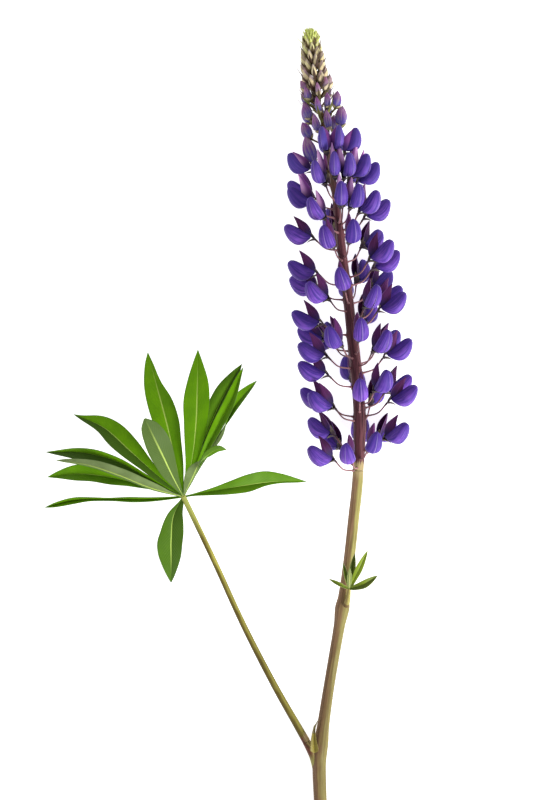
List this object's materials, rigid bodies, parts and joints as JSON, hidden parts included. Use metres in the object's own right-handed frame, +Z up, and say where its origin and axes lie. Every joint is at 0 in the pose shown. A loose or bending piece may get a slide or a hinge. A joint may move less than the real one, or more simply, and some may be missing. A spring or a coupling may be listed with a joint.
{
  "type": "lupin flower spike",
  "caption": "Cut flowering stem of a garden lupin lying on its side: a tapering spike of violet pea florets with maroon banners, cream buds at its tip, and a palmate leaf.",
  "frame": {"origin": "middle of the bottom of the whole plant's bounding box, on the surface that it lies on", "axes": "+Y along the stem from its cut foot to the tip of the spike, +Z up from the surface, +X to the right as seen from above with the spike's tip pointing away"},
  "size_m": [0.1858, 0.3932, 0.0583],
  "materials": {
    "stem": "satin plant skin, reddish tan on the left and greenish straw on the right, finely ribbed and thinly haired",
    "raceme": "soft violet petals with paler rims and fine veins, dark maroon banners, reddish brown stalks",
    "bud_tip": "silky cream buds with mauve and green tints",
    "leaf": "satin bright green upper faces, grey-green downy undersides, straw-green stalk",
    "young_leaf": "silky young yellow-green leaflets",
    "axillary_shoot": "silky olive young shoot"
  },
  "bodies": {
    "root": {"stem": "stem", "raceme": "raceme", "bud_tip": "bud_tip", "leaf": "leaf", "young_leaf": "young_leaf", "axillary_shoot": "axillary_shoot"}
  },
  "joints": []
}
